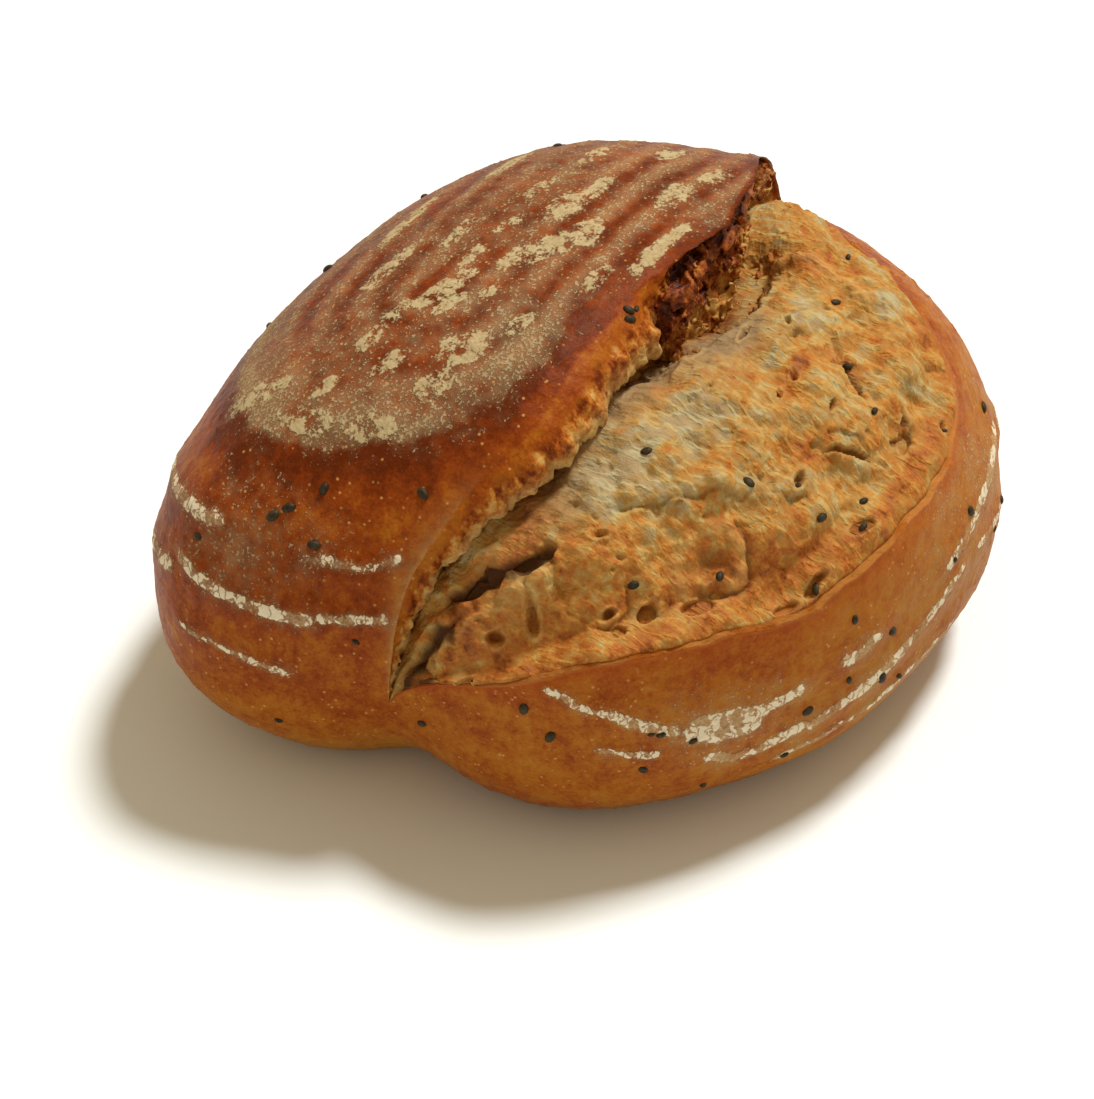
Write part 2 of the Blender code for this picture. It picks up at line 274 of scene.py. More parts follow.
# Scales of colour, each from 0 to 1
BAKED_CRUST = (
    (0.0, (0.39, 0.16, 0.018)), (0.25, (0.36, 0.112, 0.009)), (0.50, (0.27, 0.055, 0.0055)),
    (0.75, (0.180, 0.031, 0.0035)), (1.0, (0.105, 0.018, 0.0025)),
)
TORN_SKIN = (
    (0.20, (0.12, 0.022, 0.004)), (0.34, (0.31, 0.072, 0.008)), (0.46, (0.44, 0.160, 0.022)),
    (0.62, (0.57, 0.34, 0.105)),
)
FLOUR = ((0.35, (0.37, 0.29, 0.145)), (0.62, (0.54, 0.46, 0.27)))
TORN_CRUMB = (
    (0.0, (0.43, 0.375, 0.215)), (0.20, (0.47, 0.325, 0.110)), (0.42, (0.47, 0.225, 0.042)),
    (0.66, (0.42, 0.125, 0.016)), (0.95, (0.12, 0.026, 0.005)),
)
SHADED_CRUMB = ((0.3, (0.20, 0.125, 0.058)), (0.65, (0.33, 0.225, 0.115)))
# Painted shade in the hollow beneath the raised flap, in blotches from near black to the crumb's gold
HOLLOW_SHADE = (
    (0.38, (0.035, 0.007, 0.003)), (0.47, (0.17, 0.030, 0.004)), (0.55, (0.36, 0.11, 0.012)),
    (0.66, (0.52, 0.30, 0.085)),
)
# Torn dough under the flap: its own mottling, with painted shade at the near-black end
TORN_DOUGH = (
    (0.36, (0.035, 0.007, 0.003)), (0.46, (0.16, 0.028, 0.004)), (0.54, (0.34, 0.090, 0.010)),
    (0.66, (0.52, 0.29, 0.075)),
)
SEED_SHADES = ((0.3, (0.014, 0.010, 0.005)), (0.7, (0.050, 0.036, 0.016)))

# Colours of single features
COLOURS = {
    "blister": (0.58, 0.31, 0.10),
    "rim": (0.60, 0.42, 0.17),
    "glow": (0.40, 0.080, 0.007),
    "crestline": (0.56, 0.25, 0.06),
    "flour bead": (0.74, 0.66, 0.50),
    "web": (0.62, 0.46, 0.19),
    # painted shade in the hollows between the crumb's webs
    "web hole shade": (0.25, 0.085, 0.014),
    # painted highlight on the strands' tops
    "strand": (0.60, 0.38, 0.13),
    # painted highlight round the bubbles' rims
    "brim": (0.58, 0.36, 0.12),
    # painted shade in the bubbles' pits
    "pit_shade": (0.24, 0.085, 0.018),
    "speck": (0.33, 0.085, 0.010),
    # painted shade in the crumb's cuts
    "cut": (0.055, 0.016, 0.005),
}

# The photograph's camera, and the light
CAMERA_TURN = 58  # degrees from the Y axis
CAMERA_DROP = 42  # degrees below the horizon that it looks
CAMERA_DISTANCE = 0.75
CAMERA_LENS = 105.6
CAMERA_AIM = (0.0007, 0.0152, 0.0096)
SENSOR_WIDTH = 36  # mm
SUN_TURN = 44  # degrees from the camera's own direction, to the right
SUN_HEIGHT = 63
SUN_SPREAD = 12
SUN_STRENGTH = 3.35
SUN_COLOUR = (1.0, 0.97, 0.92)
SKY_STRENGTH = 0.53
SKY_COLOUR = (1.0, 0.80, 0.52, 1)
FLOOR_COLOUR = (0.82, 0.89, 0.93, 1)
FLOOR_REACH = 3


def through(values, share):
    """Smooth curve through equally spaced values, for a share from 0 to 1."""
    padded = np.array([2 * values[0] - values[1], *values, 2 * values[-1] - values[-2]])
    place = np.clip(np.asarray(share) * (len(values) - 1), 0, len(values) - 1 - 1e-9)
    return cubic(padded, np.floor(place).astype(int) + 1, place - np.floor(place))


def around(values, angle):
    """Smooth closed curve through values spaced evenly round the loaf, at an angle from +X."""
    place = (angle / (2 * np.pi) * len(values)) % len(values)
    return cubic(np.array(values), np.floor(place).astype(int), place - np.floor(place))


def cubic(values, index, part):
    a, b, c, d = (values[(index + k) % len(values)] for k in (-1, 0, 1, 2))
    return b + 0.5 * part * (c - a + part * (2 * a - 5 * b + 4 * c - d + part * (3 * (b - c) + d - a)))


def ease(value, low, high):
    """0 below low, 1 above high and smooth between them."""
    share = np.clip((value - low) / (high - low), 0, 1)
    return share * share * (3 - 2 * share)


def dough(along, angle):
    """Points of the whole dough. along is 0 and 1 at the split's ends, and angle goes round the X axis."""
    turn = np.pi * along
    x = -np.cos(turn)
    y = -np.sin(turn) * np.cos(angle)
    z = np.sin(turn) * np.sin(angle)
    height = np.where(z > 0, CROWN - GIRTH, UNDERSIDE)
    heading = np.arctan2(y, x)
    flat = np.hypot(x, y) / around(PLAN_RADII, heading)
    power = around(FULLNESS, heading)
    scale = (flat**power + np.abs(z / height) ** power) ** (-1 / power)
    return np.stack([x * scale, y * scale, z * scale + GIRTH], axis=-1)


def outward(along, angle):
    """Unit normals of the dough."""
    step = 1e-4
    along = np.clip(along, 0.002, 0.998)
    down_loaf = dough(along + step, angle) - dough(along - step, angle)
    round_loaf = dough(along, angle + step) - dough(along, angle - step)
    normal = np.cross(down_loaf, round_loaf)
    return normal / np.linalg.norm(normal, axis=-1, keepdims=True)


def lumpy_dough(along, angle):
    """Points of the dough with its broad lumps."""
    points = dough(along, angle)
    lumps = LUMP_HEIGHT * noise_at(points, LUMP_SIZE, 1) * np.sin(np.pi * along)
    return points + outward(along, angle) * lumps[:, None]


def noise_at(points, size, octaves=3):
    """Soft noise from about -1 to 1 at each point, with features of the given size."""
    return np.array([noise.fractal(Vector(p) / size, 1.0, 2.0, octaves) for p in points])


def edge_angles(along):
    """Degrees round the loaf of the flap's edge and of the lip."""
    waver = EDGE_WAVER * np.sin(np.pi * along)
    shift = np.stack([along * 6, 0 * along, 0 * along], axis=-1)
    flap = through(FLAP_ANGLES, along) + waver * noise_at(shift, 0.4)
    lip = through(LIP_ANGLES, along) + waver * noise_at(shift + 9, 0.4)
    return flap, lip


def finish_points(points):
    """Presses in the crease at the split's near end, and flattens the base with a rounded heel."""
    low_end = np.clip((CREASE_TOP - points[:, 2]) / CREASE_TOP, 0, 1) * np.clip(-points[:, 0] / 0.06, 0, 1)
    points[:, 0] += CREASE_DEPTH * low_end * np.exp(-((points[:, 1] / CREASE_WIDTH) ** 2))
    z = points[:, 2]
    heel = (z + HEEL_RADIUS) ** 2 / (4 * HEEL_RADIUS)
    points[:, 2] = np.where(z < -HEEL_RADIUS, 0, np.where(z < HEEL_RADIUS, heel, z))
    return points


def crust_columns():
    """Zone and share of the way through it for each column of the crust."""
    lip_side = np.linspace(0, HEEL_SHARE, BASE_COLUMNS, endpoint=False)
    flap = np.linspace(0, BACK_SHARE, FLAP_COLUMNS, endpoint=False)
    back = np.linspace(BACK_SHARE, HEEL_SHARE, BACK_COLUMNS, endpoint=False)
    zones = (
        np.concatenate([lip_side, np.linspace(HEEL_SHARE, 1, LIP_SIDE_COLUMNS)]),
        np.linspace(0, 1, HIDDEN_COLUMNS + 2)[1:-1],
        np.linspace(1, 0, WALL_COLUMNS, endpoint=False),
        np.concatenate([flap, back, np.linspace(HEEL_SHARE, 1, BASE_COLUMNS, endpoint=False)]),
    )
    numbers = [np.full(len(shares), zone) for zone, shares in enumerate(zones)]
    return np.concatenate(numbers), np.concatenate(zones)


def edge_rounding(along):
    """1 where the flap's edge is rounded off and 0 where it stands up as an ear."""
    return 1 - ease(along, EAR_START, EAR_FULL)


def split_floor(along, across):
    """Depth of the torn surface below the dough at a share of the way across the split."""
    depth = through(SPLIT_DEPTHS, along)
    near_lip = np.clip(across / 0.8, 0, 1) ** 2
    sink = np.interp(across, PROFILE_ACROSS, PROFILE_DEPTH) * (1 - (1 - through(LIP_STEP, along)) * near_lip)
    return depth * sink, through(LIP_RISE, along) * near_lip


def crust_surface(along, zone, share):
    """Points of the crust, where share is the way through each zone."""
    flap, lip = edge_angles(along)
    depth = through(SPLIT_DEPTHS, along)
    rounded = edge_rounding(along)
    ragged = noise_at(np.stack([along * 32, along * 0, along * 0], axis=-1), 1.0, 4)
    reach = (0.030 + 0.115 * rounded) * (1 + 0.34 * ragged)
    above_rim, below_rim = share / RIM_SHARE, (share - RIM_SHARE) / (1 - RIM_SHARE)
    out = np.where(share < RIM_SHARE, np.sin(0.5 * np.pi * above_rim), 1 - 0.7 * below_rim)
    across = np.select([zone == HIDDEN, zone == WALL], [0.985 - 0.93 * share, reach * out], 0)
    degrees = np.select(
        [zone == LIP_SIDE, zone == FLAP],
        [-90 + (lip + 90) * share, flap + (270 - flap) * share],
        flap + (lip - flap) * across,
    )
    angle = np.radians(degrees)
    points = lumpy_dough(along, angle)

    slope = np.where(share < RIM_SHARE, 0.42 * above_rim + 0.24 * above_rim**2, 0.66 + 0.62 * below_rim)
    wall_depth = depth * (rounded * slope + (1 - rounded) * 1.28 * share)
    hidden_depth = (depth + 0.006 * np.clip(depth / 0.01, 0, 1)) * ease(share, -0.25, 0.3)
    sunk = np.select([zone == HIDDEN, zone == WALL], [hidden_depth, wall_depth], 0)
    by_edge, by_lip = np.exp(-share / FLAP_RIM), np.exp(-(1 - share) / (0.8 * LIP_RIM))
    flap_rise = through(FLAP_RISE, along) * np.select([zone == FLAP, zone == WALL], [by_edge, 1 - share], 0)
    lip_rise = through(LIP_RISE, along) * np.select([zone == LIP_SIDE, zone == HIDDEN], [by_lip, 1], 0)
    shoulder = SHOULDER * rounded * np.sin(np.pi * np.clip(along * 2.5, 0, 0.5))
    shoulder *= np.select([zone == FLAP, zone == WALL], [np.exp(-share / 0.020), np.exp(-share / 0.5)], 0)
    points += outward(along, angle) * (flap_rise + lip_rise - sunk - shoulder)[:, None]
    points[:, 1] += through(CAVE_REACH, along) * (zone == WALL) * np.sin(np.pi * np.clip(share, 0, 1))
    return finish_points(points)


def crumb_surface(along, across, under):
    """Points of the crumb. across is 0 under the flap and 1 at the lip; under is 1 on its hidden side."""
    flap, lip = edge_angles(along)
    angle = np.radians(flap + (lip - flap) * across)
    points = lumpy_dough(along, angle)
    depth = through(SPLIT_DEPTHS, along)
    sink, rise = split_floor(along, np.clip(across, 0.08, 0.965))
    sink *= 1 - 0.85 * ease(across, 0.86, 0.985)
    sink = sink + 1.3 * depth * ease(0.09 - across, 0, 0.07) + 0.12 * depth * ease(across, 0.985, 1.01)
    crags = CRAG_HEIGHT * noise_at(points, CRAG_SIZE) * np.clip(depth / 0.012, 0, 1)
    crags *= np.clip((across - 0.02) / 0.06, 0, 1) * np.clip((1 - across) / 0.05, 0, 1)
    lower = 0.006 * under * np.clip(depth / 0.008, 0, 1)
    points += outward(along, angle) * (crags + rise - sink - lower)[:, None]
    return finish_points(points)


def closed_mesh(rows, ring):
    """Vertices and faces of a closed grid of rows between two poles, each row a ring of columns.

    Returns each vertex's share of the way along and its column, and the faces.
    """
    along = np.append(np.repeat(np.linspace(0, 1, rows + 1)[1:-1], ring), [0, 1])
    column = np.append(np.tile(np.arange(ring), rows - 1), [0, 0])
    near, far = len(along) - 2, len(along) - 1
    here = np.arange(ring)
    beside = (here + 1) % ring
    row = np.arange(rows - 2)[:, None] * ring
    corners = (row + here, row + beside, row + beside + ring, row + here + ring)
    quads = np.stack(corners, axis=-1).reshape(-1, 4)
    last = (rows - 2) * ring
    fans = [(near, int(b), int(a)) for a, b in zip(here, beside)]
    fans += [(far, int(last + a), int(last + b)) for a, b in zip(here, beside)]
    return along, column, [tuple(map(int, quad)) for quad in quads] + fans


def new_object(name, data):
    """A new object with its data, in the scene."""
    item = bpy.data.objects.new(name, data)
    bpy.context.scene.collection.objects.link(item)
    return item


def make_mesh(name, points, faces):
    mesh = bpy.data.meshes.new(name)
    mesh.from_pydata(points.tolist(), [], faces)
    corners = points[np.array([face[:3] for face in faces])]
    if np.einsum("ij,ij->i", corners[:, 0], np.cross(corners[:, 1], corners[:, 2])).sum() < 0:
        mesh.flip_normals()
    mesh.shade_smooth()
    mesh.update()
    return new_object(name, mesh)


def store(piece, **numbers):
    """Keeps numbers for each vertex of a piece, by their names."""
    for name, values in numbers.items():
        attribute = piece.data.attributes.new(name, "FLOAT", "POINT")
        attribute.data.foreach_set("value", np.asarray(values, dtype=np.float32))


class Nodes:
    """Adds nodes to a tree and returns their sockets, so that a pattern reads as a sum of its parts."""

    def __init__(self, tree):
        self.tree = tree
        self.geometry = tree.bl_idname == "GeometryNodeTree"

    def add(self, kind, inputs=None, out=0, **settings):
        node = self.tree.nodes.new(kind)
        for name, value in settings.items():
            setattr(node, name, value)
        for key, value in (inputs or {}).items():
            self.feed(node.inputs[key], value)
        return node.outputs[out]

    def feed(self, socket, value):
        if isinstance(value, bpy.types.NodeSocket):
            self.tree.links.new(value, socket)
        else:
            socket.default_value = value

    def math(self, operation, a, b):
        return self.add("ShaderNodeMath", {0: a, 1: b}, operation=operation)

    def plus(self, a, b):
        return self.math("ADD", a, b)

    def times(self, a, b):
        return self.math("MULTIPLY", a, b)

    def less(self, a, b):
        return self.math("SUBTRACT", a, b)

    def most(self, a, b):
        return self.math("MAXIMUM", a, b)

    def total(self, first, *others):
        for value in others:
            first = self.plus(first, value)
        return first

    def product(self, first, *others):
        for value in others:
            first = self.times(first, value)
        return first

    def vary(self, value, *noises):
        """A value with noises added, each as its swing round its middle times an amount."""
        for pattern, amount in noises:
            value = self.plus(value, self.times(self.less(pattern, 0.5), amount))
        return value

    def rise(self, value, low, high, bottom=0.0, top=1.0):
        """bottom where value is under low, top where it is over high, and smooth between them."""
        inputs = {0: value, 1: low, 2: high, 3: bottom, 4: top}
        return self.add("ShaderNodeMapRange", inputs, interpolation_type="SMOOTHSTEP")

    def attribute(self, name):
        if self.geometry:
            return self.add("GeometryNodeInputNamedAttribute", {"Name": name}, data_type="FLOAT")
        return self.add("ShaderNodeAttribute", attribute_name=name, out="Fac")

    def place(self):
        if self.geometry:
            return self.add("GeometryNodeInputPosition")
        return self.add("ShaderNodeTexCoord", out="Object")

    def stretch(self, vector, scale):
        return self.add("ShaderNodeVectorMath", {0: vector, 1: scale}, operation="MULTIPLY")

    def shift(self, vector, amount):
        return self.add("ShaderNodeVectorMath", {0: vector, 1: amount}, operation="ADD")

    def scaled(self, vector, amount):
        return self.add("ShaderNodeVectorMath", {0: vector, "Scale": amount}, operation="SCALE")

    def warp(self, size, distance):
        """The place, pushed about by a noise of a size by up to about half a distance."""
        return self.shift(self.place(), self.scaled(self.noise(size, 2, out=1), distance))

    def part(self, vector, axis=0):
        """One of a vector's three numbers."""
        return self.add("ShaderNodeSeparateXYZ", {0: vector}, out=axis)

    def noise(self, size, detail=2.0, roughness=0.5, vector=None, distortion=0.0, out=0):
        """Noise from 0 to 1 with features of a size in metres."""
        vector = self.place() if vector is None else vector
        scale = self.math("DIVIDE", 1.0, size) if isinstance(size, bpy.types.NodeSocket) else 1 / size
        inputs = {"Vector": vector, "Scale": scale, "Detail": detail, "Roughness": roughness}
        return self.add("ShaderNodeTexNoise", {**inputs, "Distortion": distortion}, out=out)

    def threads(self, size, vector, detail):
        """Thin bright threads between soft hollows, from 0 to about 1."""
        inputs = {"Vector": vector, "Scale": 1 / size, "Detail": detail, "Roughness": 0.6}
        inputs |= {"Offset": 0.9, "Gain": 1.6}
        ridged = self.add("ShaderNodeTexNoise", inputs, noise_type="RIDGED_MULTIFRACTAL", normalize=False)
        return self.rise(ridged, 0.6, 2.4)

    def flakes(self, size, vector):
        """Plates at random heights from -0.5 to 0.5, with torn edges."""
        return self.less(self.part(self.cells(size, "SMOOTH_F1", vector=vector, out="Color")), 0.5)

    def cells(self, size, feature="F1", vector=None, out="Distance"):
        """Distance in cell sizes from the nearest of scattered points, or from the cells' borders."""
        vector = self.place() if vector is None else vector
        inputs = {"Vector": vector, "Scale": 1 / size}
        return self.add("ShaderNodeTexVoronoi", inputs, out=out, feature=feature)

    def blend(self, factor, colour, other):
        """One colour, blended into another one or into one of the named colours."""
        other = (*COLOURS[other], 1) if isinstance(other, str) else other
        return self.add("ShaderNodeMix", {0: factor, 6: colour, 7: other}, out=2, data_type="RGBA")

    def ramp(self, value, stops):
        """Colours at positions from 0 to 1."""
        node = self.tree.nodes.new("ShaderNodeValToRGB")
        elements = node.color_ramp.elements
        while len(elements) < len(stops):
            elements.new(0.5)
        for element, (position, colour) in zip(elements, stops):
            element.position = position
            element.color = (*colour, 1)
        self.feed(node.inputs[0], value)
        return node.outputs[0]

    def along_normal(self, geometry, distance):
        """Moves points along their normals."""
        offset = self.scaled(self.add("GeometryNodeInputNormal"), distance)
        return self.add("GeometryNodeSetPosition", {"Geometry": geometry, "Offset": offset})

    def keep(self, geometry, name, value):
        """Stores a number on each point for the materials to read."""
        inputs = {"Geometry": geometry, "Name": name, "Value": value}
        return self.add("GeometryNodeStoreNamedAttribute", inputs, data_type="FLOAT", domain="POINT")


def new_relief(name, sizes):
    """A geometry tree with a named input for each size: its nodes, the geometry and the size sockets."""
    tree = bpy.data.node_groups.new(name, "GeometryNodeTree")
    tree.interface.new_socket("Geometry", in_out="INPUT", socket_type="NodeSocketGeometry")
    tree.interface.new_socket("Geometry", in_out="OUTPUT", socket_type="NodeSocketGeometry")
    for label in sizes:
        tree.interface.new_socket(label, in_out="INPUT", socket_type="NodeSocketFloat")
    start = tree.nodes.new("NodeGroupInput")
    return Nodes(tree), start.outputs[0], {label: start.outputs[label] for label in sizes}


def end_relief(nodes, geometry, material):
    """Ends a tree with its instances made real and its material set."""
    real = nodes.add("GeometryNodeRealizeInstances", {"Geometry": geometry})
    dressed = nodes.add("GeometryNodeSetMaterial", {"Geometry": real, "Material": material})
    finish = nodes.tree.nodes.new("NodeGroupOutput")
    nodes.tree.links.new(dressed, finish.inputs[0])
    return nodes.tree


def apply_tree(piece, tree, sizes):
    """Runs a geometry tree on a piece with the sizes given, and keeps the result as its plain mesh."""
    modifier = piece.modifiers.new(tree.name, "NODES")
    modifier.node_group = tree
    for item in tree.interface.items_tree:
        if item.item_type == "SOCKET" and item.in_out == "INPUT" and item.name in sizes:
            modifier[item.identifier] = sizes[item.name]
    graph = bpy.context.evaluated_depsgraph_get()
    shape = piece.evaluated_get(graph)
    result = bpy.data.meshes.new_from_object(shape, preserve_all_data_layers=True, depsgraph=graph)
    piece.modifiers.remove(modifier)
    plain = piece.data
    piece.data = result
    bpy.data.meshes.remove(plain)
    result.name = piece.name
    return piece


def new_material(name, specular, roughness=0.5):
    """A material, its nodes and its shader."""
    material = bpy.data.materials.new(name)
    material.use_nodes = True
    shader = material.node_tree.nodes["Principled BSDF"]
    shader.inputs["Specular IOR Level"].default_value = specular
    shader.inputs["Roughness"].default_value = roughness
    return material, Nodes(material.node_tree), shader


def bump(nodes, shader, height, distance, strength):
    inputs = {"Height": height, "Distance": distance, "Strength": strength}
    nodes.feed(shader.inputs["Normal"], nodes.add("ShaderNodeBump", inputs))


def shade_blotches(nodes, size):
    """Blotches of a size, with finer ones in them, for painted shade under the flap."""
    broad, fine = nodes.noise(size, 4, 0.6), nodes.noise(1.2 * MM, 2, 0.6)
    return nodes.plus(nodes.times(broad, 0.75), nodes.times(fine, 0.35))


def crust_material():
    """Baked crust from gold to dark red-brown, with a dusting of flour, rows of it and cracked patches."""
    material, n, shader = new_material("crust", 0.06)
    bake, rows, dust, lines, thick = map(n.attribute, ("bake", "rows", "dust", "lines", "thick"))

    mottle = n.noise(11 * MM, 4, 0.6)
    blotch = n.noise(4.2 * MM, 4, 0.62)
    fine = n.noise(1.7 * MM, 4, 0.65)
    grain = n.noise(0.7 * MM, 2, 0.6)
    streaks = n.noise(2.2 * MM, 3, 0.6, vector=n.stretch(n.place(), (1.0, 1.0, 0.22)))
    shade = n.vary(bake, (mottle, 0.85), (blotch, 0.70), (fine, 0.60), (streaks, 0.35), (grain, 0.45))
    blister = n.rise(n.cells(2.0 * MM), 0.08, 0.22, 1.0, 0.0)
    blister = n.times(blister, n.rise(n.noise(5 * MM, 1), 0.42, 0.58))
    baked = n.blend(n.times(blister, 0.75), n.ramp(shade, BAKED_CRUST), "blister")

    tears = n.noise(3.0 * MM, 4, 0.68, vector=n.stretch(n.place(), (1.0, 0.45, 0.45)))
    tears = n.vary(n.less(n.times(tears, 1.3), 0.18), (fine, 0.6))
    skin = n.ramp(n.less(tears, n.attribute("scorch")), TORN_SKIN)
    baked = n.blend(n.rise(n.attribute("torn"), 0.0, 0.8), baked, skin)
    baked = n.blend(n.times(n.attribute("rim"), n.rise(fine, 0.35, 0.6, 0.35, 1.0)), baked, "rim")
    baked = n.blend(n.times(n.attribute("glow"), 0.55), baked, "glow")
    crest = n.times(n.attribute("crestline"), n.rise(mottle, 0.38, 0.52, 0.15, 0.7))
    baked = n.blend(crest, baked, "crestline")

    # dust, as a haze with flecks in it
    clouds = n.noise(3.6 * MM, 3, 0.6)
    amount = n.vary(n.times(dust, n.plus(0.85, rows)), (clouds, 1.0), (n.noise(15 * MM, 2, 0.5), 0.5))
    amount = n.plus(n.times(amount, n.rise(dust, 0.0, 0.25)), n.times(n.rise(lines, 0.02, 0.9), 0.55))
    level = n.less(0.65, n.times(n.math("MINIMUM", amount, 1.0), 0.24))
    flecks = n.product(n.rise(grain, level, n.plus(level, 0.10)), n.rise(amount, 0.0, 0.2), 0.64)
    haze = n.times(n.rise(amount, 0.05, 1.05), 0.42)

    # thick patches that cracked
    ragged = n.vary(n.times(n.rise(thick, 0.0, 0.5), 0.64), (clouds, 1.7), (fine, 0.9), (grain, 0.9))
    ragged = n.plus(ragged, n.times(rows, 0.2))
    patch = n.product(n.rise(ragged, 0.36, 0.70), n.rise(thick, 0.0, 0.1), 0.86)
    wander = n.warp(2.5 * MM, 0.004)
    crack = n.cells(5.5 * MM, "DISTANCE_TO_EDGE", vector=n.stretch(wander, (0.7, 1.3, 1.0)))
    crack = n.most(n.rise(crack, 0.008, 0.035), n.rise(clouds, 0.50, 0.56))

    # beads along the lines, some of them fallen off
    beads = n.vary(n.less(n.times(lines, 1.4), 0.06), (fine, 1.5), (clouds, 1.2))
    beads = n.times(n.rise(beads, 0.48, 0.62), n.rise(lines, 0.08, 0.3))
    layer = n.most(flecks, n.most(patch, beads))
    pieces = n.stretch(wander, (1.0, 1.0, 0.45))
    split = n.rise(n.cells(2.0 * MM, "DISTANCE_TO_EDGE", vector=pieces), 0.02, 0.10, 0.2, 1.0)
    kept = n.rise(n.part(n.cells(2.0 * MM, vector=pieces, out="Color")), 0.28, 0.36, 0.15, 1.0)
    beads = n.product(beads, split, kept)

    flour = n.most(n.most(flecks, haze), n.most(n.times(patch, crack), beads))
    flour_colour = n.ramp(n.plus(n.times(fine, 0.6), n.times(grain, 0.4)), FLOUR)
    colour = n.blend(flour, baked, n.blend(beads, flour_colour, "flour bead"))
    n.feed(shader.inputs["Base Color"], colour)
    n.feed(shader.inputs["Roughness"], n.rise(flour, 0.0, 0.7, 0.42, 0.9))
    bump(n, shader, n.total(fine, n.times(grain, 0.3), n.times(layer, 0.8)), 0.42 * MM, 0.8)
    return material


def crumb_material():
    """Torn crumb: pale and fibrous where it is fresh, golden to orange-brown where the oven caught it."""
    material, n, shader = new_material("crumb", 0.2)
    tone = n.attribute("tone")

    patchy = n.noise(3.6 * MM, 4, 0.62, distortion=0.5)
    threads = n.noise(1.5 * MM, 3, 0.62, vector=n.stretch(n.place(), (1.0, 0.28, 0.4)))
    fine = n.noise(0.8 * MM, 3, 0.65)
    shade = n.vary(tone, (patchy, 1.25), (n.noise(12 * MM, 3, 0.55), 0.7), (threads, 0.9), (fine, 0.5))
    # paler on the relief's crests: painted highlight
    shade = n.less(shade, n.times(n.attribute("crest"), 0.12))
    webs = n.threads(2.6 * MM, n.stretch(n.shift(n.place(), (0.3, 0.1, 0.2)), (1.0, 0.36, 0.5)), 2.0)
    colour = n.blend(n.rise(webs, 0.45, 0.8, 0.0, 0.65), n.ramp(shade, TORN_CRUMB), "web")
    # dark in the hollows between the webs: painted shade
    colour = n.blend(n.rise(webs, 0.0, 0.12, 0.35, 0.0), colour, "web hole shade")
    # paler on top of the strands: painted highlight
    colour = n.blend(n.rise(n.attribute("strand"), 0.4, 1.3, 0.0, 0.35), colour, "strand")
    # greyish in the lee of the flap: the crumb's own unbaked colour, with painted shade
    shaded = n.times(n.attribute("lee"), n.rise(patchy, 0.30, 0.50, 0.75, 1.0))
    colour = n.blend(shaded, colour, n.ramp(threads, SHADED_CRUMB))
    # paler round the bubbles' rims: painted highlight
    colour = n.blend(n.times(n.attribute("brim"), 0.35), colour, "brim")
    # darker in the bubbles' pits: painted shade
    colour = n.blend(n.rise(n.attribute("pit_shade"), 0.15, 0.9, 0.0, 0.6), colour, "pit_shade")
    specks = n.rise(n.noise(2.6 * MM, 3, 0.7, vector=n.shift(n.place(), (0.5, 0.2, 0.7))), 0.60, 0.70)
    colour = n.blend(n.product(specks, n.rise(tone, 0.1, 0.6, 0.35, 1.0), 0.65), colour, "speck")
    # painted shade in the hollow beneath the raised flap, in blotches
    hollow_shade = n.ramp(shade_blotches(n, 4 * MM), HOLLOW_SHADE)
    colour = n.blend(n.rise(n.attribute("hollow"), 0.25, 0.75), colour, hollow_shade)
    # near black in the cuts: painted shade
    colour = n.blend(n.rise(n.attribute("dark"), 0.1, 0.9, 0.0, 0.9), colour, "cut")
    n.feed(shader.inputs["Base Color"], colour)
    n.feed(shader.inputs["Roughness"], n.rise(shade, 0.2, 0.8, 0.8, 0.55))
    plates = n.flakes(1.7 * MM, n.stretch(n.place(), (1.0, 0.4, 0.55)))
    height = n.total(n.times(threads, 1.2), n.times(webs, 0.9), n.times(fine, 0.5), n.times(plates, 0.25))
    bump(n, shader, height, 0.5 * MM, 1.0)
    return material


def seed_material():
    material, n, shader = new_material("seeds", 0.2, 0.55)
    n.feed(shader.inputs["Base Color"], n.ramp(n.noise(1.1 * MM, 2), SEED_SHADES))
    bump(n, shader, n.noise(0.35 * MM, 2), 0.1 * MM, 0.5)
    return material


def crust_relief(material):
    """Rows pressed by the basket, flour that stands proud, small blisters, and torn skin on the wall."""
    n, geometry, size = new_relief("crust relief", CRUST_SIZES)
    clumps = n.noise(1.8 * MM, 3, 0.6)
    proud = n.most(n.attribute("thick"), n.attribute("lines"))
    blister = n.rise(n.cells(2.1 * MM), 0.05, 0.35, 1.0, 0.0)
    wrinkles = n.less(n.noise(4 * MM, 4, 0.6), 0.5)
    along_split = n.stretch(n.place(), (1.0, 0.45, 0.45))
    ragged = n.less(n.noise(2.4 * MM, 5, 0.68, vector=along_split, distortion=0.3), 0.5)
    strings = n.less(n.threads(7.0 * MM, n.stretch(n.place(), (0.8, 1.0, 0.7)), 3.0), 0.6)
    height = n.total(
        n.product(n.attribute("rows"), n.attribute("dust"), size["Row height"]),
        n.product(proud, n.rise(clumps, 0.38, 0.6), size["Flour height"]),
        n.times(n.attribute("halo"), size["Step height"]),
        n.product(blister, n.rise(n.noise(5 * MM, 1), 0.45, 0.6), size["Blister height"]),
        n.times(wrinkles, size["Wrinkle height"]),
        n.product(n.attribute("torn"), ragged, size["Tear height"]),
        n.product(n.attribute("cave"), strings, size["Cave height"]),
        n.product(n.attribute("crestline"), n.rise(clumps, 0.2, 0.6, 0.5, 1.0), size["Lip height"]),
    )
    above_base = n.rise(n.part(n.place(), 2), 0.0005, 0.006)
    return end_relief(n, n.along_normal(geometry, n.times(height, above_base)), material)


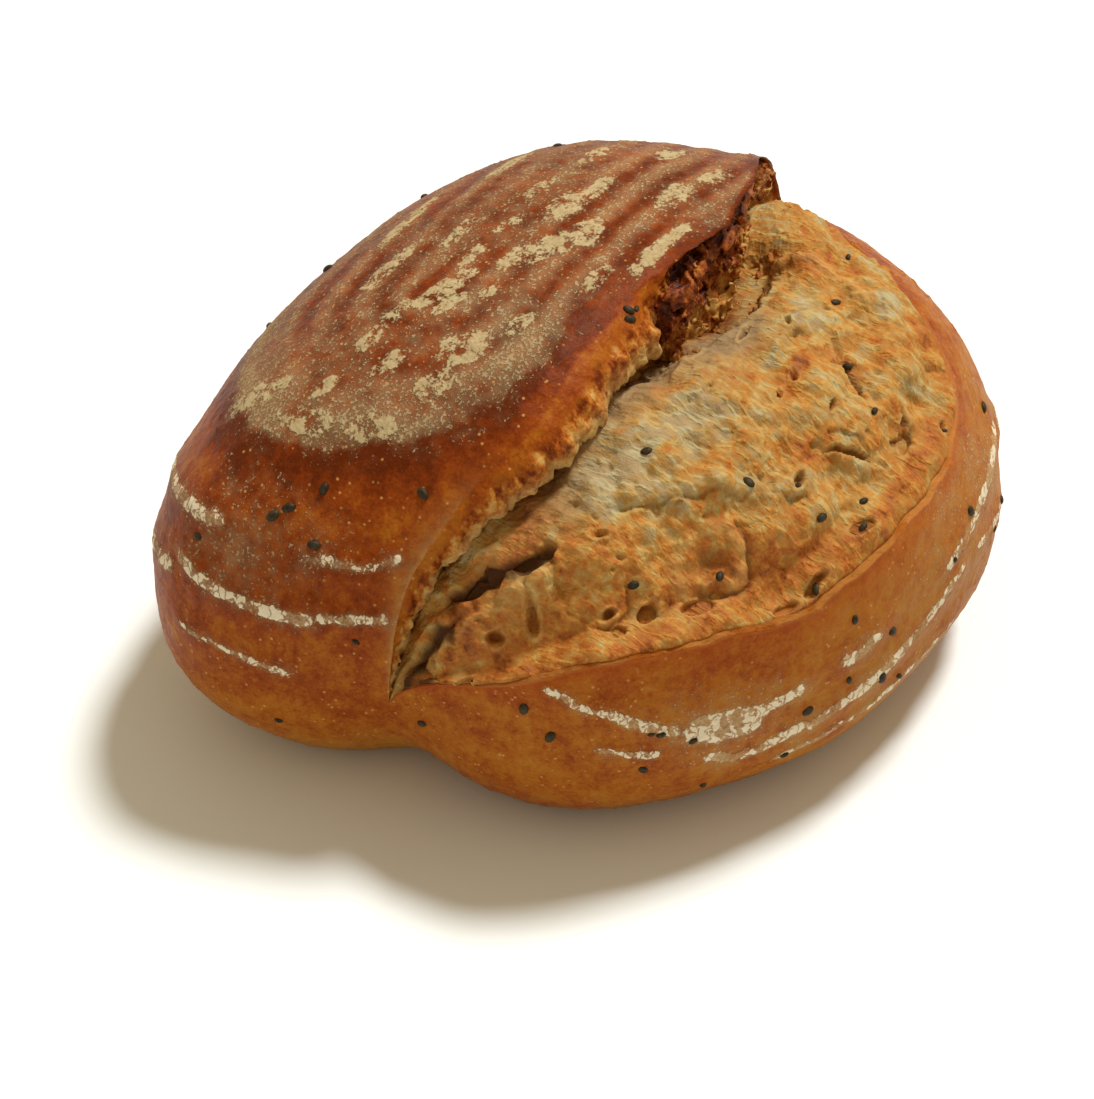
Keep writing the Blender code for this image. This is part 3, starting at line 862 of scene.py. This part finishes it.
def crumb_relief(material):
    """Torn flakes with sharp edges, bubbles, strands and fibres."""
    n, geometry, size = new_relief("crumb relief", CRUMB_SIZES)
    warped = n.warp(6 * MM, 0.005)
    inside, rough, strand = map(n.attribute, ("inside", "open", "strand"))
    small = n.rise(n.cells(3.0 * MM, vector=n.stretch(warped, (1.0, 0.6, 0.8))), 0.08, 0.34, 1.0, 0.0)
    small = n.product(small, n.rise(n.noise(7 * MM, 2), 0.50, 0.62), 0.55, rough)
    pits = n.times(n.most(small, n.rise(n.attribute("bubble"), 0.0, 0.55)), inside)
    fine_flakes = n.times(n.flakes(3.0 * MM, n.stretch(warped, (1.0, 0.4, 0.6))), 0.35)
    flakes = n.plus(n.flakes(6.5 * MM, n.stretch(warped, (1.0, 0.5, 0.7))), fine_flakes)
    ridge = n.threads(6.0 * MM, n.stretch(warped, (1.0, 0.5, 0.7)), 3.0)
    fibres = n.less(n.noise(1.3 * MM, 3, 0.6, vector=n.stretch(warped, (1.0, 0.28, 0.4))), 0.5)
    grains = n.less(n.noise(3.0 * MM, 4, 0.65), 0.5)
    raised = n.less(n.plus(strand, n.times(n.attribute("brim"), 0.35)), n.attribute("cut"))
    holes = n.less(n.threads(5.0 * MM, n.stretch(warped, (0.8, 1.0, 0.7)), 3.0), 0.6)
    height = n.total(
        n.product(pits, -1.0, size["Bubble depth"]),
        n.product(flakes, rough, size["Flake height"]),
        n.product(ridge, rough, size["Rim height"]),
        n.product(fibres, n.plus(0.4, n.times(rough, 0.6)), size["Fibre height"]),
        n.product(grains, rough, size["Grain height"]),
        n.times(raised, MM),
        n.product(n.attribute("hollow"), holes, size["Hole depth"]),
    )
    # pit depth, kept for the painted shade in the bubbles
    geometry = n.keep(geometry, "pit_shade", pits)
    # crests of the relief, kept for the painted highlight on them
    geometry = n.keep(geometry, "crest", n.total(ridge, strand, n.times(flakes, 0.5)))
    return end_relief(n, n.along_normal(geometry, n.times(height, inside)), material)


def headings(points):
    """Degrees round the loaf from +X."""
    return np.degrees(np.arctan2(points[:, 1], points[:, 0])) % 360


def line_strength(points, spread):
    """How strongly the lines of flour on the sides cover each point, spread to a multiple of their width."""
    heading, height = headings(points), points[:, 2] * 1000
    mm_per_degree = np.hypot(points[:, 0], points[:, 1]) * 1000 * np.pi / 180
    strength = np.zeros(len(points))
    for width, power, places in FLOUR_LINES:
        for (a0, z0), (a1, z1) in zip(places, places[1:]):
            dx, dz = (heading - a0) * mm_per_degree, height - z0
            ux, uz = (a1 - a0) * mm_per_degree, z1 - z0
            part = np.clip((dx * ux + dz * uz) / np.maximum(ux**2 + uz**2, 1e-6), 0, 1)
            gap = np.hypot(dx - part * ux, dz - part * uz)
            strength = np.maximum(strength, power * np.exp(-((gap / (width * spread)) ** 2)))
    return strength


def spot_strength(points, spots):
    """How deep each point is in some oval spots, from 0 at a spot's rim to its own depth, or else to 1."""
    depths = [spot[5] if len(spot) > 5 else 1 for spot in spots]
    shapes = [np.clip(1 - spot_reach(points, spot), 0, 1) for spot in spots]
    return np.max([depth * shape for depth, shape in zip(depths, shapes)], axis=0)


def spot_sum(points, spots):
    """Soft sum of oval spots, each with its own amount."""
    return sum(spot[5] * np.exp(-(spot_reach(points, spot) ** 2)) for spot in spots)


def spot_reach(points, spot):
    """Distance in plan from an oval spot's middle, where 1 is its rim."""
    x, y, length, width, turn = spot[:5]
    dx, dy = points[:, 0] * 1000 - x, points[:, 1] * 1000 - y
    c, s = math.cos(math.radians(turn)), math.sin(math.radians(turn))
    return np.hypot((dx * c + dy * s) / (length / 2), (dy * c - dx * s) / (width / 2))


def path_gap(points, places):
    """Distance in plan, in mm, from a path through some places."""
    x, y = points[:, 0] * 1000, points[:, 1] * 1000
    nearest = np.full(len(points), 1e3)
    for (x0, y0), (x1, y1) in zip(places, places[1:]):
        dx, dy = x1 - x0, y1 - y0
        part = np.clip(((x - x0) * dx + (y - y0) * dy) / (dx**2 + dy**2), 0, 1)
        nearest = np.minimum(nearest, np.hypot(x - x0 - part * dx, y - y0 - part * dy))
    return nearest


def strand_height(points):
    """Height in mm of the strands that stand up from the crumb."""
    gaps = [(top, width, path_gap(points, places)) for width, top, places in STRANDS]
    return np.max([top * np.exp(-((gap / width) ** 2)) for top, width, gap in gaps], axis=0)


def cut_depth(points):
    """Depth in mm of the cuts in the crumb, and their darkness, which is painted shade."""
    waver = 1 + 0.5 * noise_at(points, 0.003, 2)
    shapes = [np.exp(-((path_gap(points, places) / (width * waver)) ** 2)) for width, _, _, places in CUTS]
    depth = np.max([cut[1] * shape for cut, shape in zip(CUTS, shapes)], axis=0)
    return depth, np.max([cut[2] * shape for cut, shape in zip(CUTS, shapes)], axis=0)


def ring_distance(points, line):
    """Distance in plan from a line along X, given by its two ends and its Y."""
    near, far, middle = line
    beyond = points[:, 0] - np.clip(points[:, 0], near, far)
    return np.hypot(beyond, points[:, 1] - middle)


def basket_rows(points):
    """Rings pressed by the basket, from about -0.5 between them to 0.5 on them."""
    ring = ring_distance(points, RING_CENTRE) + 0.0012 * noise_at(points, 0.02, 2)
    strength = 0.25 + 0.75 * ease(points[:, 0] * 1000, -48, -22)
    strength *= 0.75 + 0.9 * noise_at(points + 2, 0.022, 2)
    return 0.5 * np.cos(2 * np.pi * ring / RING_SPACING) * strength


def floured_field(points, on_flap):
    """How far past the edge of the flap's floured part each point is, and how fully it is within it."""
    x, y, _ = points.T * 1000
    past = ring_distance(points, FIELD_CENTRE) + 0.0028 * noise_at(points + 5, 0.009, 4) - FIELD_REACH
    past -= 0.011 * ease(x, -8, 28) + 0.0045 * np.exp(-(((x + 68) / 12) ** 2) - ((y - 42) / 14) ** 2)
    return past, on_flap * (1 - ease(past, -0.001, 0.002))


def side_lines(points, zone):
    """Lines of flour on the sides, and the dust round them."""
    heading = headings(points)
    far_side = (heading < FAR_SIDE[0]) | (heading > FAR_SIDE[1])
    broken = np.clip(0.75 + 1.5 * noise_at(points + 3, 0.016, 3), 0.0, 1.2)
    kept = ((zone == LIP_SIDE) | (zone == FLAP)) * np.where(far_side, broken, 1)
    return line_strength(points, 1) * kept, line_strength(points, HALO_SPREAD) * kept


def side_spot(points, spot):
    """1 at the middle of a soft spot on the loaf's side, falling to 0 round it."""
    heading, height, turn, rise = spot
    round_it = (headings(points) - heading) / turn
    up_it = (points[:, 2] * 1000 - height) / rise
    return np.exp(-(round_it**2) - up_it**2)


def crust_browning(points, along, zone, share, flour):
    """How brown the crust is: less than 0 for gold, up to 1 for the darkest red-brown."""
    x, _, z = points.T * 1000
    past, on_flap, field, rows, halo, left_dust, under_lip = flour
    lip_side, flap = zone == LIP_SIDE, zone == FLAP
    bake = np.where(flap, 0.44 + 0.26 * ease(-past, -0.012, 0.0), 0.30)
    # golden towards the base, and darkest just outside the flour
    bake -= 0.34 * (1 - ease(z, 6, 34)) * flap
    bake += 0.30 * on_flap * np.exp(-(((past - 0.003) / 0.0055) ** 2)) * (1 - 0.6 * ease(x, -35, -5))
    # darker between the rows, along the ear's edge, on the wall and under the lip, and lighter beside it
    bake += (0.07 - 0.26 * rows) * field
    bake += 0.15 * flap * (1 - edge_rounding(along)) * np.exp(-share / 0.006)
    bake += 0.10 * (zone == WALL) + 0.20 * under_lip
    bake -= 0.20 * lip_side * np.exp(-(((headings(points) - 272) / 30) ** 2))
    bake += 0.12 * lip_side * (1 - ease(z, 4, 16))
    # darker round the lines of flour and under the dust
    return bake + 0.14 * halo * flap + 0.05 * halo * lip_side + 0.20 * left_dust


def make_crust(centre):
    zone, share = crust_columns()
    along, column, faces = closed_mesh(CRUST_ROWS, len(zone))
    zone, share = zone[column], share[column]
    points = crust_surface(along, zone, share) - centre
    piece = make_mesh("loaf_crust", points, faces)
    x, _, z = points.T * 1000
    lip_side, wall, flap = zone == LIP_SIDE, zone == WALL, zone == FLAP
    rounded = edge_rounding(along)

    on_flap = flap * ease(z, 66, 76)
    past, field = floured_field(points, on_flap)
    rows = basket_rows(points)
    lines, halo = side_lines(points, zone)
    near_rim = np.exp(-(((past + 0.004) / 0.006) ** 2)) * (1 - ease(x, -40, -10))
    near_rim *= np.clip(0.75 + 0.8 * noise_at(points + 8, 0.014, 3), 0, 1.2)
    dust = field * (0.46 + 0.50 * near_rim)
    dust *= np.where(flap, ease(share, 0.002, 0.008 + 0.012 * rounded), 1)
    fringe = on_flap * np.exp(-((past / 0.0065) ** 2))
    left_dust = side_spot(points, LEFT_DUST) * flap
    right_dust = side_spot(points, RIGHT_DUST) * lip_side
    outside = np.max([0.34 * halo, 0.38 * left_dust, 0.40 * right_dust, 0.22 * fringe], axis=0)
    thick = spot_strength(points, FLOUR_PATCHES) * on_flap
    dust = np.maximum(dust, outside * (1 - field))
    store(piece, rows=rows, dust=dust, lines=lines, halo=halo, thick=thick)

    rim = wall * rounded * np.exp(-(((share - RIM_SHARE) / 0.15) ** 2)) * ease(along, 0.01, 0.06)
    near_edge = flap * np.exp(-share / 0.014) * (1 - ease(along, 0.12, 0.28))
    store(piece, rim=np.maximum(rim, 0.45 * near_edge))
    scorch = 0.20 * (1 - rounded) * (1 - 0.6 * ease(along, 0.72, 0.80)) + 0.28 * np.exp(-share / 0.22)
    scorch += spot_sum(points, SCORCHED) - 0.17 * (1 - rounded) * ease(share, 0.40, 0.75)
    torn = wall * ease(share, 0.02 + 0.08 * rounded, 0.10 + 0.22 * rounded)
    cave = wall * (1 - rounded) * ease(share, 0.0, 0.15) * (1 - ease(along, 0.84, 0.92))
    store(piece, scorch=wall * scorch, torn=torn, cave=cave)
    crest = lip_side * np.exp(-(((1 - share) / 0.0026) ** 2))
    under_lip = lip_side * np.exp(-(1 - share) / 0.035)
    store(piece, crestline=crest * ease(along, 0.03, 0.15) * (1 - 0.8 * ease(along, 0.5, 0.75)))
    store(piece, glow=under_lip * (1 - 0.85 * ease(along, 0.5, 0.72)))
    flour = (past, on_flap, field, rows, halo, left_dust, under_lip)
    store(piece, bake=crust_browning(points, along, zone, share, flour))
    return apply_tree(piece, crust_relief(crust_material()), CRUST_SIZES)


def make_crumb(centre):
    top = np.linspace(1.01, 0.01, CRUMB_COLUMNS)
    bottom = np.linspace(0.01, 1.01, CRUMB_UNDER_COLUMNS + 2)[1:-1]
    across = np.concatenate([top, bottom])
    under = np.concatenate([0 * top, np.minimum(1, 4 * np.minimum(bottom, 1 - bottom))])
    along, column, faces = closed_mesh(CRUMB_ROWS, len(across))
    across, under = across[column], under[column]
    points = crumb_surface(along, across, under) - centre
    hollow = np.exp(-((path_gap(points, HOLLOW) / HOLLOW_WIDTH) ** 2)) * (1 - under)
    points[:, 2] -= HOLLOW_DEPTH * MM * hollow
    piece = make_mesh("loaf_crumb", points, faces)

    inside = ease(across, 0.02, 0.09) * (1 - ease(across, 0.97, 1.0)) * (1 - np.clip(under, 0, 1))
    inside *= ease(along, 0.01, 0.05) * (1 - ease(along, 0.95, 0.99))
    bubble = spot_strength(points, BUBBLES)
    # rings round the bubbles, for a painted highlight and a low raised rim
    brim = np.max([np.exp(-(((spot_reach(points, spot) - 1.05) / 0.20) ** 2)) for spot in BUBBLES], axis=0)
    store(piece, inside=inside, bubble=bubble, brim=brim, strand=strand_height(points), hollow=hollow)
    depth, dark = cut_depth(points)
    # the lee of the flap, where painted shade greys the crumb and its relief is smoother
    lee = np.clip(spot_sum(points, LEE_SHADE), 0, 1)
    smooth = lee + spot_sum(points, SMOOTH) + 0.8 * ease(across, 0.72, 0.90)
    tone = 0.34 + spot_sum(points, CRUMB_TONES) + 0.12 * ease(across, 0.85, 0.97)
    store(piece, cut=depth, dark=dark, lee=lee, open=1 - 0.8 * np.clip(smooth, 0, 1), tone=tone)
    return apply_tree(piece, crumb_relief(crumb_material()), CRUMB_SIZES)


def surface_below(pieces, origin, direction):
    """Nearest hit of a line on some pieces, as its point and normal, or None."""
    best = None
    for piece in pieces:
        hit, point, normal, _ = piece.ray_cast(origin, direction)
        if hit and (best is None or (point - origin).length < (best[0] - origin).length):
            best = (point, normal)
    return best


def seed_tree(material):
    """Puts a seed on each point, lying along the surface and turned by the point's spin."""
    n, points, size = new_relief("seed scatter", ("Length", "Width"))
    ball = n.tree.nodes.new("GeometryNodeMeshUVSphere")
    ball.inputs["Segments"].default_value = 10
    ball.inputs["Rings"].default_value = 7
    ball.inputs["Radius"].default_value = 0.5
    thickness = n.times(size["Width"], 0.8)
    stretch = n.add("ShaderNodeCombineXYZ", {0: size["Length"], 1: size["Width"], 2: thickness})
    seed = n.add("GeometryNodeTransform", {"Geometry": ball.outputs[0], "Scale": stretch})
    normal = n.add("GeometryNodeInputNamedAttribute", {"Name": "normal"}, data_type="FLOAT_VECTOR")
    lying = n.add("FunctionNodeAlignRotationToVector", {"Vector": normal}, axis="Z")
    turn = n.add("FunctionNodeAxisAngleToRotation", {"Axis": (0.0, 0.0, 1.0), "Angle": n.attribute("spin")})
    spun = n.add("FunctionNodeRotateRotation", {0: lying, 1: turn}, rotation_space="LOCAL")
    scattered = n.add(
        "GeometryNodeInstanceOnPoints",
        {"Points": points, "Instance": seed, "Rotation": spun, "Scale": n.attribute("scale")},
    )
    return end_relief(n, scattered, material)


def point_cloud(name, places, seed):
    """Loose vertices, each with its surface's normal, a spin and a scale, for a tree to scatter on."""
    draw = np.random.default_rng(seed)
    mesh = bpy.data.meshes.new(name)
    mesh.from_pydata([tuple(point) for point, _ in places], [], [])
    normals = mesh.attributes.new("normal", "FLOAT_VECTOR", "POINT")
    directions = np.array([tuple(normal) for _, normal in places], dtype=np.float32)
    normals.data.foreach_set("vector", directions.ravel())
    piece = new_object(name, mesh)
    store(piece, spin=draw.uniform(0, 2 * np.pi, len(places)))
    store(piece, scale=draw.uniform(0.65, 1.3, len(places)))
    return piece


def make_seeds(pieces):
    places = []
    for x, y in TOP_SEEDS:
        places.append(surface_below(pieces, Vector((x * MM, y * MM, 0.2)), Vector((0, 0, -1))))
    for heading, z in SIDE_SEEDS:
        out = Vector((math.cos(math.radians(heading)), math.sin(math.radians(heading)), 0))
        places.append(surface_below(pieces, out * 0.2 + Vector((0, 0, z * MM)), -out))
    places = [(point, normal) for point, normal in filter(None, places)]
    piece = point_cloud("loaf_seeds", places, 5)
    piece = apply_tree(piece, seed_tree(seed_material()), {"Length": SEED_LENGTH, "Width": SEED_WIDTH})
    piece.data.shade_smooth()
    return piece


def torn_material():
    material, n, shader = new_material("torn dough", 0.2, 0.5)
    # darker towards the top, where the dough hangs under the flap: painted shade
    low = n.rise(n.part(n.place(), 2), 0.079, 0.092, 0.08, -0.09)
    n.feed(shader.inputs["Base Color"], n.ramp(n.plus(shade_blotches(n, 5 * MM), low), TORN_DOUGH))
    bump(n, shader, n.noise(0.8 * MM, 3), 0.3 * MM, 0.8)
    return material


def torn_tree(material):
    """Grows torn, holey dough in front of a strip of wall, as thick as its Thickness."""
    n, geometry, size = new_relief("torn dough", ("Thickness", "Hole size", "Raggedness"))
    near = n.add("GeometryNodeProximity", {0: geometry}, target_element="FACES", out="Distance")
    shell = n.less(0.62, n.math("DIVIDE", near, size["Thickness"]))
    cloud = n.noise(size["Hole size"], 3, 0.6, vector=n.stretch(n.warp(5 * MM, 0.006), (0.8, 1.0, 0.7)))
    density = n.plus(shell, n.times(n.less(cloud, 0.5), size["Raggedness"]))
    box = n.tree.nodes.new("GeometryNodeBoundBox")
    n.feed(box.inputs[0], geometry)
    low = n.shift(box.outputs["Min"], (-0.005, -0.006, -0.004))
    high = n.shift(box.outputs["Max"], (0.005, 0.004, 0.004))
    volume = n.add("GeometryNodeVolumeCube", {"Density": density, "Min": low, "Max": high, **TORN_GRID})
    skin = n.add("GeometryNodeVolumeToMesh", {"Volume": volume, "Threshold": 0.02})
    return end_relief(n, n.add("GeometryNodeSetShadeSmooth", {0: skin}), material)


def make_torn_dough(name, centre):
    """Torn dough that hangs from a strip of the wall under the raised flap."""
    reach, drop, thickness = TORN_STRIPS[name]
    columns, rows = 60, 16
    along, share = np.meshgrid(np.linspace(*reach, columns), np.linspace(*drop, rows), indexing="ij")
    points = crust_surface(along.ravel(), np.full(along.size, 2), share.ravel()) - centre
    corner = (np.arange(columns - 1)[:, None] * rows + np.arange(rows - 1)).ravel()
    faces = [(int(c), int(c + 1), int(c + rows + 1), int(c + rows)) for c in corner]
    piece = make_mesh(name, points, faces)
    sizes = {"Thickness": thickness, "Hole size": 0.84 * thickness, "Raggedness": 3.4}
    return apply_tree(piece, torn_tree(torn_material()), sizes)


def make_stage():
    mesh = bpy.data.meshes.new("floor")
    near, far = -FLOOR_REACH, FLOOR_REACH
    mesh.from_pydata([(near, near, 0), (far, near, 0), (far, far, 0), (near, far, 0)], [], [(0, 1, 2, 3)])
    floor = new_object("floor", mesh)
    material, _, shader = new_material("floor", 0.2, 0.6)
    shader.inputs["Base Color"].default_value = FLOOR_COLOUR
    mesh.materials.append(material)

    world = bpy.data.worlds.new("studio")
    bpy.context.scene.world = world
    world.use_nodes = True
    background = world.node_tree.nodes["Background"]
    background.inputs["Color"].default_value = SKY_COLOUR
    background.inputs["Strength"].default_value = SKY_STRENGTH

    turn, height = math.radians(CAMERA_TURN + SUN_TURN), math.radians(SUN_HEIGHT)
    toward = Vector((math.sin(turn) * math.cos(height), math.cos(turn) * math.cos(height), math.sin(height)))
    sun = bpy.data.lights.new("window", "SUN")
    sun.energy = SUN_STRENGTH
    sun.angle = math.radians(SUN_SPREAD)
    sun.color = SUN_COLOUR
    new_object("window", sun).rotation_euler = toward.to_track_quat("Z", "Y").to_euler()


def make_camera():
    turn, drop = math.radians(CAMERA_TURN), math.radians(CAMERA_DROP)
    right = Vector((math.cos(turn), -math.sin(turn), 0))
    deep = Vector((math.sin(turn), math.cos(turn), 0))
    ahead = deep * math.cos(drop) - Vector((0, 0, 1)) * math.sin(drop)
    camera = bpy.data.cameras.new("camera")
    camera.lens = CAMERA_LENS
    camera.sensor_width = SENSOR_WIDTH
    camera.clip_start = 0.01
    holder = new_object("camera", camera)
    holder.matrix_world = Matrix((right, right.cross(ahead), -ahead)).transposed().to_4x4()
    holder.location = Vector(CAMERA_AIM) - ahead * CAMERA_DISTANCE
    bpy.context.scene.camera = holder
    bpy.context.scene.view_settings.view_transform = "Standard"


def plan_centre():
    """Middle of the dough's bounding box in plan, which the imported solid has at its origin."""
    along, angle = np.meshgrid(np.linspace(0, 1, 181), np.linspace(0, 2 * np.pi, 361))
    points = finish_points(dough(along, angle).reshape(-1, 3))
    low, high = points.min(axis=0), points.max(axis=0)
    return np.array([(low[0] + high[0]) / 2, (low[1] + high[1]) / 2, 0])


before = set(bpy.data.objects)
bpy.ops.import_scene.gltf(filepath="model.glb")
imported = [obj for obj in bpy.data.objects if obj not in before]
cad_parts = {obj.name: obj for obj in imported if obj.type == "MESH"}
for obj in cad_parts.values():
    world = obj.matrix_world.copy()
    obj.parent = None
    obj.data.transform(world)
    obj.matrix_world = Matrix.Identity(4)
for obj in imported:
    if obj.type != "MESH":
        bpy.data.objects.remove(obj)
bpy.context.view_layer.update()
make_camera()
make_stage()
centre = plan_centre()
crust = make_crust(centre)
crumb = make_crumb(centre)
torn = [make_torn_dough(name, centre) for name in TORN_STRIPS]
seeds = make_seeds([crust, crumb])
for piece in (crust, crumb, *torn, seeds):
    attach(piece, "root")
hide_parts("loaf")
